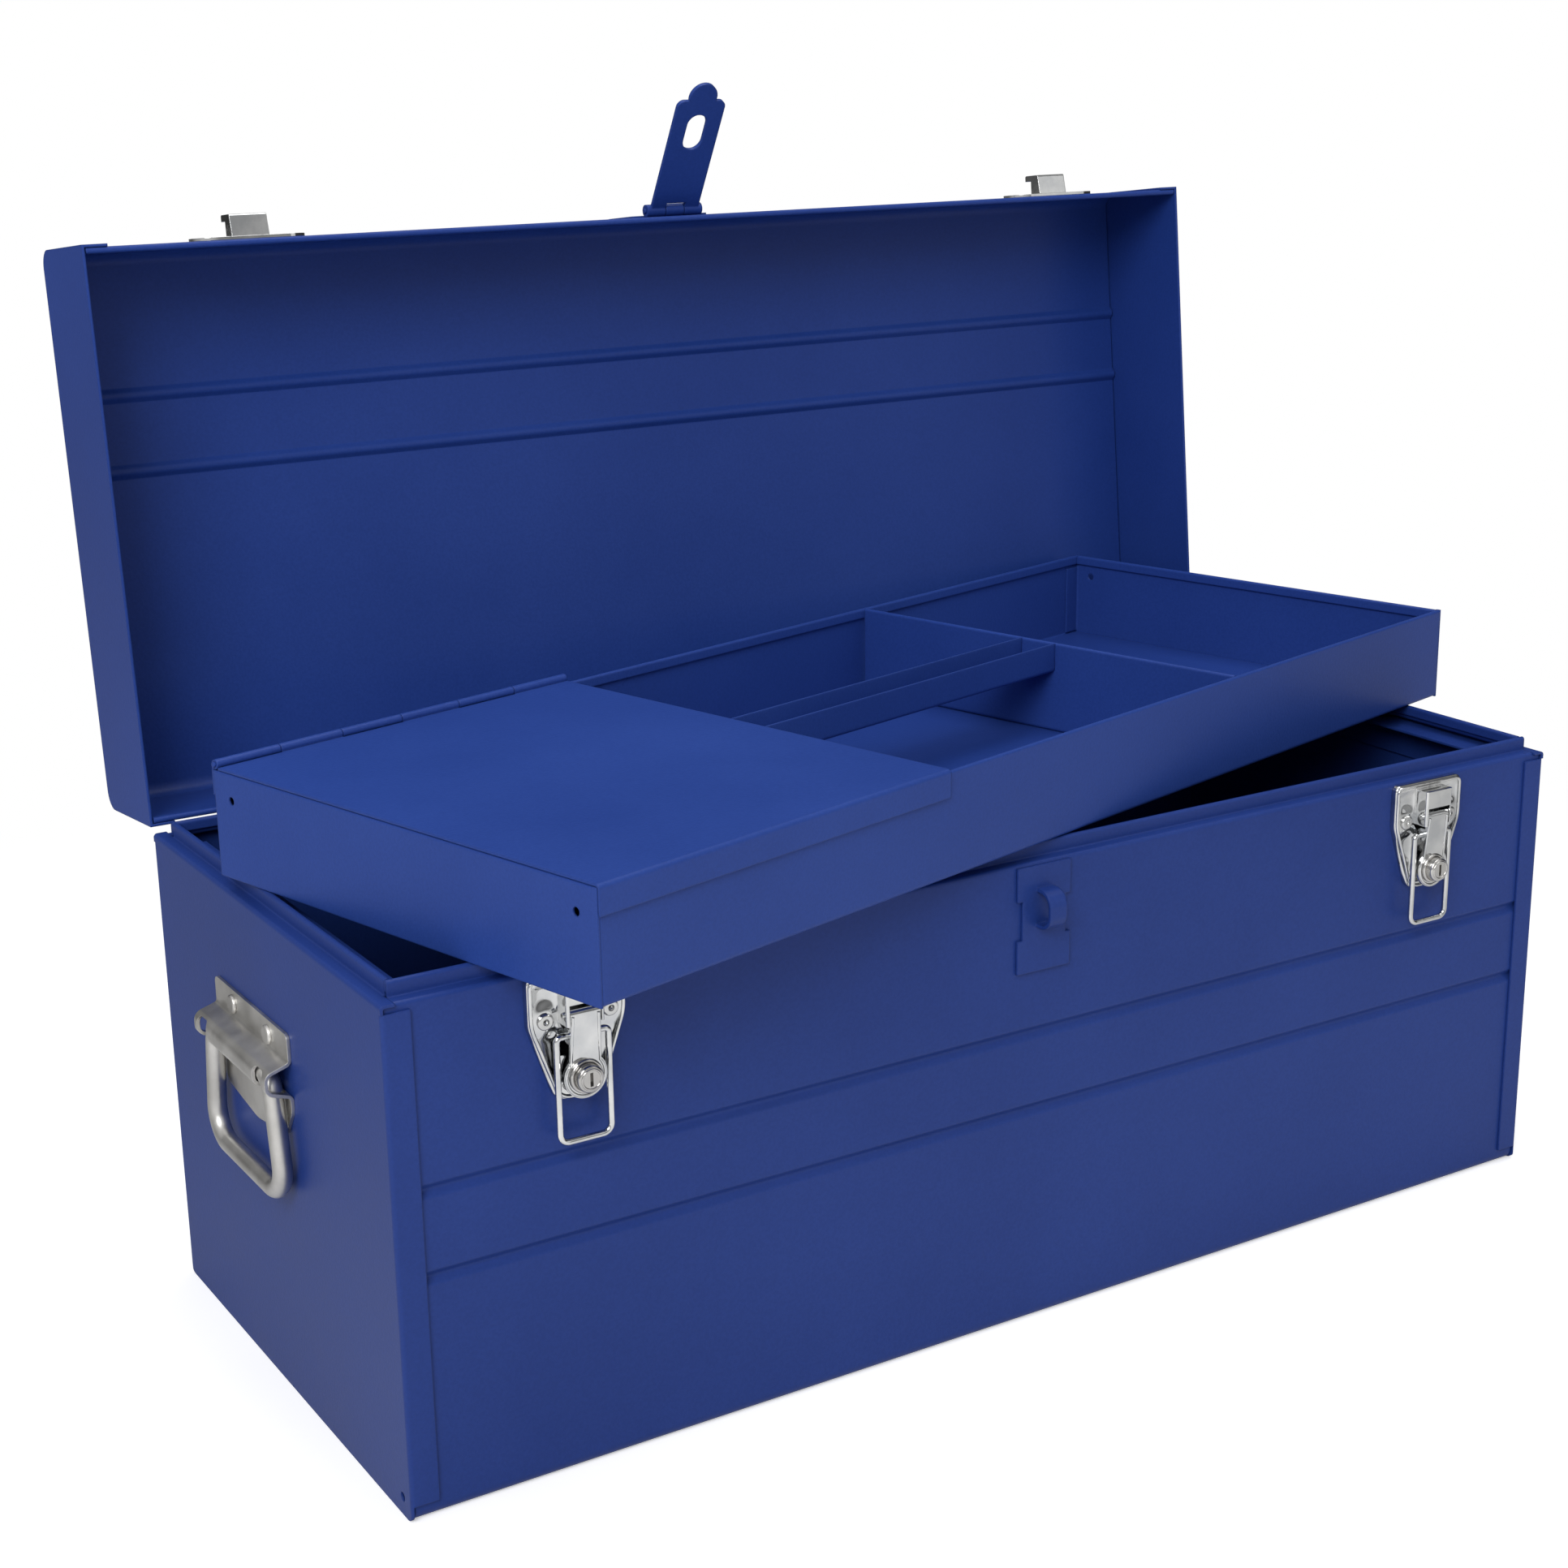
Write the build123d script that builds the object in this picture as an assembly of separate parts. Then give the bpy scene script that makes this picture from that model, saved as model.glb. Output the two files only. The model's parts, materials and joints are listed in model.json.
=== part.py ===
"""Portable sheet-steel tool box: hinged lid, lift-out tray, draw latches, hasp and end handles.

Millimetres, +X to the right along the length, +Y to the back, +Z up. The origin is the centre of
the flat bottom. The lid stands open and the tray lies askew on the rim, as the box is photographed.
"""
import os

from build123d import *

# ---- box body -------------------------------------------------------------------------------
BOX_LENGTH = 508.0          # over the end panels
BOX_DEPTH = 214.0           # over the corner flanges
BODY_HEIGHT = 180.0         # floor to the shoulder that the lid closes on
SHEET = 1.0                 # body and lid sheet
SEAM_GAP = 0.05             # between two sheets that lie on each other
RIM_INSET = 5.0             # width of the shoulder
RIM_HEIGHT = 5.4            # the lip stands this far above the shoulder
HEM_GAP = 0.3               # inside a folded hem
HEM_DEPTH = 4.0             # how far a hem's inner leaf reaches
HEM_TRIM = 0.02             # keeps a short flat on the crown of a hem
BEND = 1.5                  # outer radius of a sharp sheet bend
LIP_BEND = 0.5              # where the lip rises from the shoulder
BOTTOM_BEND = 4.0           # outer radius along the bottom edges
CORNER_FLANGE = 10.0        # end panel's flange round the front and back
FLANGE_FOOT = 6.0           # corner flange stops this far above the floor
GROOVE_WIDTH = 5.0
GROOVE_DEPTH = 2.0
GROOVE_BEND = 1.2           # outer radius of a groove's folds
FRONT_GROOVES = (115.0, 85.0)   # heights of the two pressed grooves
DRAIN_RADIUS = 1.6
DRAIN_INSET = 7.0

# ---- lid ------------------------------------------------------------------------------------
LID_HEIGHT = 52.0
LID_GAP = 0.3               # lid rim above the shoulder when closed
LID_CORNER = 7.0            # outer radius of the long lid corners
LID_OPEN = 95.6             # degrees, at rest
LID_GROOVES = (160.0, 131.0)    # from the hinge line
LID_FLANGE = 9.5

# ---- body hinges ----------------------------------------------------------------------------
HINGE_X = 150.0
HINGE_LENGTH = 66.0
HINGE_KNUCKLES = 5
KNUCKLE_RADIUS = 2.6
HINGE_PIN_RADIUS = 1.25
HINGE_LEAF = 1.2
HINGE_LEAF_HEIGHT = 26.0
KNUCKLE_GAP = 0.3           # between knuckles and from a knuckle to a wall
PIN_CLEARANCE = 0.06
PIN_PROUD = 0.6             # a pin's ends past its hinge

# ---- tray -----------------------------------------------------------------------------------
TRAY_LENGTH = 490.0
TRAY_DEPTH = 194.0
TRAY_HEIGHT = 38.0
TRAY_SHEET = 0.8
TRAY_FLANGE = 9.0
TRAY_YAW = 14.9             # degrees askew on the rim
TRAY_X = 6.5
TRAY_Y = -2.7
REST_GAP = 0.3              # between the rim and the tray that lies on it
DIVIDER_X = 90.0
COVER_END_X = -84.0
TROUGH_WIDTH = 18.0
TROUGH_DEPTH = 12.0
TRAY_HOLE_RADIUS = 1.5
TRAY_HOLE_INSET = 9.5
LEDGE_DROP = 8.0            # ledge top below the top of the rim
LEDGE_WIDTH = 15.0
LEDGE_LEG = 16.0
LEDGE_LENGTH = 190.0

# ---- tray cover -----------------------------------------------------------------------------
COVER_FLANGE = 10.0
COVER_GAP = 0.3
COVER_KNUCKLES = 6
COVER_BARREL = 1.7
COVER_PIN_RADIUS = 0.9
COVER_LEAF_HEIGHT = 9.0

# ---- draw latches ---------------------------------------------------------------------------
LATCH_X = 188.0
LATCH_WIDTH = 35.0
LATCH_DROP = 1.0            # top of the latches and the staple below the shoulder
LATCH_HEIGHT = 43.5
LATCH_SHOULDER = 17.0       # straight part of the plate's sides
LATCH_FOOT_WIDTH = 17.0
LATCH_CORNER = 2.5
LATCH_KNEE = 9.0
LATCH_FOOT = 5.0
LATCH_RISE = 2.8            # the pressed plate's height
LATCH_SKIN = 1.0
CHEEK_WIDTH = 13.6          # over the two cheeks of the housing
CHEEK = 1.1
CHEEK_RISE = 8.8
CHEEK_DROP = 16.6           # below the top of the plate, as the next drops are
LEVER_PIVOT_DROP = 13.0
LEVER_PIVOT_OUT = 6.4
LEVER_PIN_RADIUS = 1.0
PIN_FIT = 0.02              # the pin in the housing's cheeks
LEVER_ROLL = 2.2
LEVER_CLEAR = 1.4           # housing window above the roll, room for the raised lever
LEVER_WIDTH = 10.8
LEVER_SHEET = 1.2
LEVER_END_DROP = 34.8
LEVER_END_RADIUS = 7.7
LEVER_LEAN = 1.6            # the lower end lies this much nearer the wall
LOCK_RADIUS = 4.7
LOCK_RISE = 4.2
KEYWAY = (1.1, 4.6, 2.0)    # width, height and depth of the key slot
BAIL_WIRE = 1.1             # radius
BAIL_HALF_WIDTH = 9.3
BAIL_PIVOT_DROP = 7.6       # below the lever's pivot
BAIL_PIVOT_OUT = 5.6
BAIL_LENGTH = 36.3
BAIL_CORNER = 3.2
BAIL_ELBOW = 1.6
EAR_RADIUS = 2.6
EAR_SHEET = 1.0
LATCH_RIVET_X = 11.6
LATCH_RIVET_DROP = 15.2
LATCH_RIVET_RADIUS = 2.9
LATCH_RIVET_RISE = 1.1
RIVET_EDGE = 0.9

# ---- keepers on the lid ---------------------------------------------------------------------
KEEPER_WIDTH = 44.0
KEEPER_HEIGHT = 17.0
KEEPER_ROUND = 8.0
KEEPER_CENTRE = 11.0        # above the lid's rim
KEEPER_SHEET = 1.2
HOOK_WIDTH = 14.6
HOOK_HEIGHT = 9.0
HOOK_RISE = 9.4
HOOK_LIP = 1.5
HOOK_TIP = 2.5
HOOK_SEAT = 4.0             # the bail's seat below the tip of the hook

# ---- hasp and staple ------------------------------------------------------------------------
HASP_V = 20.0               # hinge line above the lid's rim
HASP_OUT = 3.0              # hinge line in front of the lid
HASP_BARREL = 2.5
HASP_PIN_RADIUS = 1.1
HASP_LENGTH = 26.0
STRAP_WIDTH = 22.0
STRAP_LENGTH = 59.0
STRAP_SHOULDER = 51.5
STRAP_TIP_RADIUS = 6.2
STRAP_CORNER = 3.0
STRAP_SHEET = 1.6
STRAP_DROP = 0.7            # strap's middle behind the hinge line when it is folded down
STRAP_LEAN = 36.0           # degrees from square to the lid's front, towards its rim
SLOT_WIDTH = 9.0
SLOT_START = 29.2
SLOT_END = 45.2
HASP_LEAF_WIDTH = 35.0
HASP_LEAF_HEIGHT = 24.0
STAPLE_WIDTH = 23.5
STAPLE_HEIGHT = 40.0
STAPLE_NOTCH = 2.2
STAPLE_SHEET = 1.2
EYE_WIDTH = 7.4
EYE_HEIGHT = 14.6
EYE_ROUND = 5.8
EYE_REACH = 9.6
EYE_BAND = 1.3              # thickness of the bent band
EYE_DROP = 15.8             # middle of the eye below the top of the staple

# ---- end handles ----------------------------------------------------------------------------
HANDLE_Y = 10.0
HANDLE_DROP = 53.0          # bar axis below the shoulder
BAR_RADIUS = 3.5
BRACKET_SHEET = 1.2
BRACKET_WIDTH = 70.0
BRACKET_RISE = 16.5         # top edge above the bar axis
BRACKET_FALL = 26.0         # point of the foot below it
BRACKET_TAPER = 7.0
BRACKET_BEND = 2.6
BRACKET_FLARE = 1.8         # the bulge's foot is this much taller on each side than its crown
BRACKET_WAIST = 12.0
BRACKET_POINT = 4.0
BRACKET_KNEE = 6.0          # outline radius where the strap starts to taper
BRACKET_TIP = 20.0          # outline radius of the point
BULGE_SLOPE = 1.0           # the bulge's crown is this much shorter at each edge
BAR_GAP = 0.3
LEG_TOP = 27.5              # half spacing of the legs at the bracket
LEG_BOTTOM = 34.0           # and at the grip
LEG_GAP = 1.2               # beside a leg in its notch
GRIP_DROP = 43.0
BAR_SPLIT = 0.6             # between the two ends of the bent bar, inside the bracket
BAIL_BEND_TOP = 7.0
BAIL_BEND_GRIP = 11.0
HANDLE_RIVET_Y = 17.0
HANDLE_RIVET_UP = 11.0      # above the bar axis
HANDLE_RIVET_RADIUS = 3.5
HANDLE_RIVET_HEAD = 1.3

# ---- worked out from the values above --------------------------------------------------------
HALF_LENGTH = BOX_LENGTH / 2
HALF_DEPTH = BOX_DEPTH / 2
WRAP_Y = HALF_DEPTH - SHEET                     # outer face of the front and back panels
WRAP_X = HALF_LENGTH - BEND                     # wrapped panels stop at the end panels' bends
HINGE_Y = WRAP_Y + KNUCKLE_RADIUS + KNUCKLE_GAP
HINGE_Z = BODY_HEIGHT
RIM_TOP = BODY_HEIGHT + RIM_HEIGHT
LID_RIM = BODY_HEIGHT + LID_GAP
LID_TOP = BODY_HEIGHT + LID_HEIGHT
TRAY_Z = RIM_TOP + REST_GAP
HALF_TRAY = TRAY_LENGTH / 2
HALF_TRAY_DEPTH = TRAY_DEPTH / 2
COVER_LENGTH = COVER_END_X + HALF_TRAY
COVER_PITCH = COVER_LENGTH / COVER_KNUCKLES
COVER_X = (COVER_END_X - HALF_TRAY) / 2
COVER_Z = TRAY_HEIGHT + COVER_GAP
BARREL_Y = HALF_TRAY_DEPTH + SEAM_GAP + TRAY_SHEET - COVER_BARREL
BARREL_Z = COVER_Z + COVER_BARREL
HEM = 2 * SHEET + HEM_GAP                       # thickness of a folded hem
HEM_BEND = HEM / 2 - HEM_TRIM
TRAY_HEM = 2 * TRAY_SHEET + HEM_GAP
TRAY_HEM_BEND = TRAY_HEM / 2 - HEM_TRIM
LATCH_TOP = BODY_HEIGHT - LATCH_DROP
CHEEK_BOTTOM = LATCH_TOP - CHEEK_DROP
LEVER_PIVOT_Z = LATCH_TOP - LEVER_PIVOT_DROP
LEVER_END_Z = LATCH_TOP - LEVER_END_DROP
BAIL_PIVOT_Z = LEVER_PIVOT_Z - BAIL_PIVOT_DROP
LATCH_RIVET_Z = LATCH_TOP - LATCH_RIVET_DROP
EYE_Z = LATCH_TOP - EYE_DROP
HANDLE_AXIS_Z = BODY_HEIGHT - HANDLE_DROP
BRACKET_TOP = HANDLE_AXIS_Z + BRACKET_RISE
BRACKET_FOOT = HANDLE_AXIS_Z - BRACKET_FALL
BAR_OUT = BRACKET_SHEET + BAR_GAP + BAR_RADIUS  # handle's bar axis from the end panel


def folded(points, radii, thickness, side, length):
    """A sheet folded along a path in the local XY plane, extruded by length both ways from it."""
    path = FilletPolyline(*points, radius=radii)
    face = make_face(offset(path, amount=thickness, side=side))
    return extrude(face, amount=length / 2, both=True)


def on_yz(shape):
    """Turns a shape drawn in XY and extruded on Z so that it is drawn in YZ and runs along X."""
    return Plane.YZ * shape


def on_xz(shape):
    """Turns a shape drawn in XY and extruded on Z so that it is drawn in XZ and runs along Y."""
    return Plane.XZ * shape


def groove(along, level, depth):
    """The three path points of a groove pressed to a depth, as (along, level)."""
    half = GROOVE_WIDTH / 2
    return [(along + half, level), (along, level + depth), (along - half, level)]


def knuckle_row(length, count, radius, bore, gap, wanted):
    """Knuckles along X, centred on the origin: those of a row of count whose index is wanted."""
    pitch = length / count
    row = []
    for index in wanted:
        centre = -length / 2 + pitch * (index + 0.5)
        tube = Cylinder(radius, pitch - gap) - Cylinder(bore, pitch)
        row.append(Pos(centre, 0, 0) * Rot(0, 90, 0) * tube)
    return row


def fused(shapes):
    """One part from a list of shapes that touch or overlap."""
    return shapes[0] + shapes[1:] if len(shapes) > 1 else shapes[0]


def opened(shape):
    """Swings a piece of the closed lid to where the lid stands open."""
    return shape.rotate(Axis((0, HINGE_Y, HINGE_Z), (1, 0, 0)), -LID_OPEN)


def askew(shape):
    """Lays a piece of the tray, drawn square on its own origin, where the tray lies on the rim."""
    return Pos(TRAY_X, TRAY_Y, TRAY_Z) * Rot(0, 0, TRAY_YAW) * shape


def mirrored(shape):
    """The same piece for the other end of the box."""
    return mirror(shape, about=Plane.YZ)


# ---- body -----------------------------------------------------------------------------------
def rim_points(wall, inward):
    """Shoulder, lip and hem above a wall; inward is +1 or -1, the way from the wall to the inside."""
    lip = wall + inward * RIM_INSET
    inner = lip + inward * HEM
    return [(wall, BODY_HEIGHT), (lip, BODY_HEIGHT), (lip, RIM_TOP), (inner, RIM_TOP),
            (inner, RIM_TOP - HEM_DEPTH)]


def body_shell():
    """Front, bottom and back of the body in one folded sheet, notched at the ends of the rim."""
    rim_radii = [BEND, LIP_BEND, HEM_BEND, HEM_BEND]
    grooves = []
    for height in FRONT_GROOVES:
        grooves += [(y, z) for z, y in groove(height, -WRAP_Y, GROOVE_DEPTH)]
    path = rim_points(-WRAP_Y, 1)[::-1] + grooves + [(-WRAP_Y, 0), (WRAP_Y, 0)] + rim_points(WRAP_Y, -1)
    bends = [GROOVE_BEND] * len(grooves) + [BOTTOM_BEND] * 2
    wrap = on_yz(folded(path, rim_radii[::-1] + bends + rim_radii, SHEET, Side.LEFT, 2 * WRAP_X))
    notch_x = WRAP_X - (HALF_LENGTH - RIM_INSET) + SEAM_GAP
    notch = Box(notch_x, BOX_DEPTH, 2 * RIM_HEIGHT, align=(Align.MAX, Align.CENTER, Align.MIN))
    notch = Pos(WRAP_X, 0, BODY_HEIGHT - SHEET - SEAM_GAP) * notch
    return wrap - notch - mirrored(notch)


def end_pan(wall_top):
    """The end panel with its front and back flanges and rounded bottom corners."""
    flange_x = -HALF_LENGTH + CORNER_FLANGE
    plan = [(flange_x, -HALF_DEPTH), (-HALF_LENGTH, -HALF_DEPTH), (-HALF_LENGTH, HALF_DEPTH),
            (flange_x, HALF_DEPTH)]
    pan = Pos(0, 0, wall_top / 2) * folded(plan, [BEND, BEND], SHEET, Side.RIGHT, wall_top)
    foot = Box(CORNER_FLANGE, BOX_DEPTH, FLANGE_FOOT, align=(Align.MIN, Align.CENTER, Align.MIN))
    side_view = Rectangle(BOX_DEPTH, 2 * wall_top)
    side_view = fillet(side_view.vertices(), BOTTOM_BEND)
    side_view = Pos(0, wall_top) * side_view
    pan &= on_yz(extrude(side_view, amount=BOX_LENGTH, both=True))
    return pan - Pos(-HALF_LENGTH + SHEET, 0, 0) * foot


def body_end():
    """Left end panel: a pan with a flange round front, back and bottom, and its part of the rim."""
    wall_top = BODY_HEIGHT - 2 * BEND
    rim = [(-HALF_LENGTH, wall_top)] + rim_points(-HALF_LENGTH, 1)
    lip_width = 2 * (WRAP_Y - RIM_INSET - HEM - SEAM_GAP)
    lip = on_xz(folded(rim, [BEND, LIP_BEND, HEM_BEND, HEM_BEND], SHEET, Side.RIGHT, lip_width))
    shoulder = on_xz(folded(rim[:3], [BEND], SHEET, Side.RIGHT, BOX_DEPTH))
    bottom = Box(CORNER_FLANGE, 2 * (WRAP_Y - BOTTOM_BEND), SHEET,
                 align=(Align.MIN, Align.CENTER, Align.MIN))
    end = end_pan(wall_top) + lip + shoulder + Pos(-HALF_LENGTH, 0, SHEET + SEAM_GAP) * bottom
    drain = Pos(-HALF_LENGTH, -HALF_DEPTH + DRAIN_INSET, DRAIN_INSET) * Rot(0, 90, 0)
    return end - drain * Cylinder(DRAIN_RADIUS, 4 * SHEET)


def tray_ledge():
    """Angle strip inside the left end, which the seated tray rests on."""
    top = RIM_TOP - LEDGE_DROP
    wall = -HALF_LENGTH + SHEET + SEAM_GAP
    path = [(wall, top - LEDGE_LEG), (wall, top), (wall + LEDGE_WIDTH, top)]
    return on_xz(folded(path, [BEND], SHEET, Side.RIGHT, LEDGE_LENGTH))


def hinge_leaf(wanted):
    """One hinge half standing up from its pin at the origin; wanted lists its knuckles."""
    bore = HINGE_PIN_RADIUS + PIN_CLEARANCE
    pitch = HINGE_LENGTH / HINGE_KNUCKLES
    leaf_y = WRAP_Y + SEAM_GAP - HINGE_Y
    start = KNUCKLE_RADIUS + KNUCKLE_GAP + LID_GAP
    leaf = Box(HINGE_LENGTH, HINGE_LEAF, HINGE_LEAF_HEIGHT - start,
               align=(Align.CENTER, Align.MIN, Align.MIN))
    web = Box(pitch - KNUCKLE_GAP, HINGE_LEAF, start + HINGE_LEAF,
              align=(Align.CENTER, Align.MIN, Align.MIN))
    pieces = [Pos(0, leaf_y, start) * leaf]
    pieces += knuckle_row(HINGE_LENGTH, HINGE_KNUCKLES, KNUCKLE_RADIUS, bore, KNUCKLE_GAP, wanted)
    for index in wanted:
        pieces.append(Pos(-HINGE_LENGTH / 2 + pitch * (index + 0.5), leaf_y + KNUCKLE_GAP, 0) * web)
    return fused(pieces) - Rot(0, 90, 0) * Cylinder(bore, HINGE_LENGTH)


def hinge_set(shape):
    """The same hinge piece at both hinge places, as one group."""
    return Compound(children=[Pos(x, HINGE_Y, HINGE_Z) * shape for x in (-HINGE_X, HINGE_X)])


def hinge_pin():
    return Rot(0, 90, 0) * Cylinder(HINGE_PIN_RADIUS, HINGE_LENGTH + 2 * PIN_PROUD)


# ---- lid ------------------------------------------------------------------------------------
def lid_shell():
    """Front, top and back of the closed lid in one folded sheet with hemmed edges."""
    top = LID_TOP - SHEET
    hem = [(WRAP_Y, LID_RIM), (WRAP_Y - HEM, LID_RIM), (WRAP_Y - HEM, LID_RIM + HEM_DEPTH)]
    grooves = []
    for distance in LID_GROOVES:
        grooves += groove(HINGE_Y - distance, top, -GROOVE_DEPTH)[::-1]
    path = [(-y, z) for y, z in hem[::-1]] + [(-WRAP_Y, top)] + grooves + [(WRAP_Y, top)] + hem
    corner = LID_CORNER - SHEET
    radii = [HEM_BEND, HEM_BEND, corner] + [GROOVE_BEND] * len(grooves) + [corner, HEM_BEND, HEM_BEND]
    return on_yz(folded(path, radii, SHEET, Side.RIGHT, 2 * WRAP_X))


def lid_end():
    """Left end of the closed lid: a flat panel with a flange round the outside of the sheet."""
    outline = [(-HALF_DEPTH, LID_RIM), (-HALF_DEPTH, LID_TOP), (HALF_DEPTH, LID_TOP),
               (HALF_DEPTH, LID_RIM)]
    path = FilletPolyline(*outline, radius=LID_CORNER)
    band = make_face(offset(path, amount=SHEET, side=Side.RIGHT))
    closing = Line(outline[-1], outline[0])
    panel = make_face(path.edges() + closing.edges())
    pan = extrude(band, amount=LID_FLANGE) + extrude(panel, amount=SHEET)
    return Pos(-HALF_LENGTH, 0, 0) * on_yz(pan)


# ---- tray, drawn square about its own origin on the bottom face --------------------------------
def tray_shell():
    """Front, bottom and back of the tray in one folded sheet with hemmed top edges."""
    y = HALF_TRAY_DEPTH
    hem = [(y, TRAY_HEIGHT), (y - TRAY_HEM, TRAY_HEIGHT), (y - TRAY_HEM, TRAY_HEIGHT - HEM_DEPTH)]
    path = [(-a, z) for a, z in hem[::-1]] + [(-y, 0), (y, 0)] + hem
    radii = [TRAY_HEM_BEND, TRAY_HEM_BEND, BEND, BEND, TRAY_HEM_BEND, TRAY_HEM_BEND]
    length = TRAY_LENGTH - 2 * TRAY_SHEET - 2 * SEAM_GAP
    return on_yz(folded(path, radii, TRAY_SHEET, Side.LEFT, length))


def tray_end():
    """Left end of the tray: a panel with a hemmed top and flanges inside the folded sheet."""
    flange_y = HALF_TRAY_DEPTH - TRAY_SHEET - SEAM_GAP
    hem_y = HALF_TRAY_DEPTH - TRAY_HEM - SEAM_GAP
    hem_low = TRAY_HEIGHT - HEM_DEPTH
    wall = Box(TRAY_SHEET, TRAY_DEPTH, TRAY_HEIGHT, align=(Align.MIN, Align.CENTER, Align.MIN))
    wall -= Pos(0, 0, hem_low) * Box(4 * TRAY_SHEET, 2 * hem_y, HEM_DEPTH,
                                     align=(Align.CENTER, Align.CENTER, Align.MIN))
    plan = [(TRAY_FLANGE, -flange_y), (0, -flange_y), (0, flange_y), (TRAY_FLANGE, flange_y)]
    height = hem_low - 2 * BEND
    flanges = Pos(0, 0, BEND + height / 2) * folded(plan, BEND, TRAY_SHEET, Side.RIGHT, height)
    roll = [(0, hem_low - BEND), (0, TRAY_HEIGHT), (TRAY_HEM, TRAY_HEIGHT), (TRAY_HEM, hem_low)]
    end = wall + flanges + on_xz(folded(roll, TRAY_HEM_BEND, TRAY_SHEET, Side.RIGHT, 2 * hem_y))
    for y in (-HALF_TRAY_DEPTH + TRAY_HOLE_INSET, HALF_TRAY_DEPTH - TRAY_HOLE_INSET):
        hole = Rot(0, 90, 0) * Cylinder(TRAY_HOLE_RADIUS, 4 * TRAY_SHEET)
        end -= Pos(0, y, TRAY_HEIGHT - TRAY_HOLE_INSET) * hole
    return Pos(-HALF_TRAY, 0, 0) * end


def divider():
    """A cross wall with a foot on the floor and a hemmed top edge; its face is at local x = 0."""
    floor = TRAY_SHEET + SEAM_GAP
    path = [(TRAY_FLANGE, floor), (0, floor), (0, TRAY_HEIGHT), (TRAY_HEM, TRAY_HEIGHT),
            (TRAY_HEM, TRAY_HEIGHT - HEM_DEPTH)]
    width = 2 * (HALF_TRAY_DEPTH - TRAY_HEM - SEAM_GAP)
    return on_xz(folded(path, [BEND, TRAY_HEM_BEND, TRAY_HEM_BEND], TRAY_SHEET, Side.RIGHT, width))


def trough():
    """Shallow channel between the two cross walls, for long slim tools."""
    half = TROUGH_WIDTH / 2
    low = TRAY_HEIGHT - TROUGH_DEPTH
    path = [(-half, TRAY_HEIGHT), (-half, low), (half, low), (half, TRAY_HEIGHT)]
    start = COVER_END_X + TRAY_HEM + SEAM_GAP
    length = DIVIDER_X - SEAM_GAP - start
    channel = on_yz(folded(path, BEND, TRAY_SHEET, Side.LEFT, length))
    return Pos(start + length / 2, 0, 0) * channel


def cover_knuckle_x(index):
    """Middle of one knuckle of the cover's hinge."""
    return COVER_X - COVER_LENGTH / 2 + COVER_PITCH * (index + 0.5)


def cover_bore(radius, length):
    return Pos(COVER_X, BARREL_Y, BARREL_Z) * Rot(0, 90, 0) * Cylinder(radius, length)


def cover_knuckles(wanted):
    """Knuckles of the cover's hinge, in place."""
    bore = COVER_PIN_RADIUS + PIN_CLEARANCE
    row = knuckle_row(COVER_LENGTH, COVER_KNUCKLES, COVER_BARREL, bore, KNUCKLE_GAP, wanted)
    return [Pos(COVER_X, BARREL_Y, BARREL_Z) * knuckle for knuckle in row]


def cover_leaf():
    """Strip on the back of the tray that carries half of the cover's knuckles."""
    wanted = range(0, COVER_KNUCKLES, 2)
    y = HALF_TRAY_DEPTH + SEAM_GAP
    strip = Box(COVER_LENGTH, TRAY_SHEET, COVER_LEAF_HEIGHT, align=(Align.CENTER, Align.MIN, Align.MAX))
    web = Box(COVER_PITCH - KNUCKLE_GAP, TRAY_SHEET, BARREL_Z - TRAY_HEIGHT,
              align=(Align.CENTER, Align.MIN, Align.MIN))
    pieces = [Pos(COVER_X, y, TRAY_HEIGHT) * strip] + cover_knuckles(wanted)
    for index in wanted:
        pieces.append(Pos(cover_knuckle_x(index), y, TRAY_HEIGHT) * web)
    return fused(pieces) - cover_bore(COVER_PIN_RADIUS + PIN_CLEARANCE, COVER_LENGTH)


def tray_cover():
    """Flat hinged cover with a turned-down front edge."""
    front = -HALF_TRAY_DEPTH - COVER_GAP - TRAY_SHEET
    top = COVER_Z + TRAY_SHEET
    path = [(front, top - COVER_FLANGE), (front, top), (BARREL_Y, top)]
    plate = Pos(COVER_X, 0, 0) * on_yz(folded(path, BEND, TRAY_SHEET, Side.RIGHT, COVER_LENGTH))
    reach = COVER_BARREL + KNUCKLE_GAP
    for index in range(0, COVER_KNUCKLES, 2):
        cut = Box(COVER_PITCH + KNUCKLE_GAP, 2 * reach, 2 * reach)
        plate -= Pos(cover_knuckle_x(index), BARREL_Y, BARREL_Z) * cut
    cover = fused([plate] + cover_knuckles(range(1, COVER_KNUCKLES, 2)))
    return cover - cover_bore(COVER_PIN_RADIUS + PIN_CLEARANCE, COVER_LENGTH)


# ---- draw latch, drawn about x = 0 with y = 0 on the front panel and -y out of it ----------------
def on_front(shape):
    """Puts a piece on the outer face of the front panel."""
    return Pos(0, -WRAP_Y - SEAM_GAP, 0) * shape


def cross_hole(out, z, radius, length):
    """A cylinder along X at a distance in front of the panel."""
    return Pos(0, -out, z) * Rot(0, 90, 0) * Cylinder(radius, length)


def latch_outline(inset):
    half = LATCH_WIDTH / 2 - inset
    foot = LATCH_FOOT_WIDTH / 2 - inset
    top = LATCH_TOP - inset
    knee = LATCH_TOP - LATCH_SHOULDER
    low = LATCH_TOP - LATCH_HEIGHT + inset
    corners = [(-half, top), (half, top), (half, knee), (foot, low), (-foot, low), (-half, knee)]
    radii = [LATCH_CORNER, LATCH_CORNER, LATCH_KNEE, LATCH_FOOT, LATCH_FOOT, LATCH_KNEE]
    return make_face(FilletPolyline(*corners, radius=radii, close=True))


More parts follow.
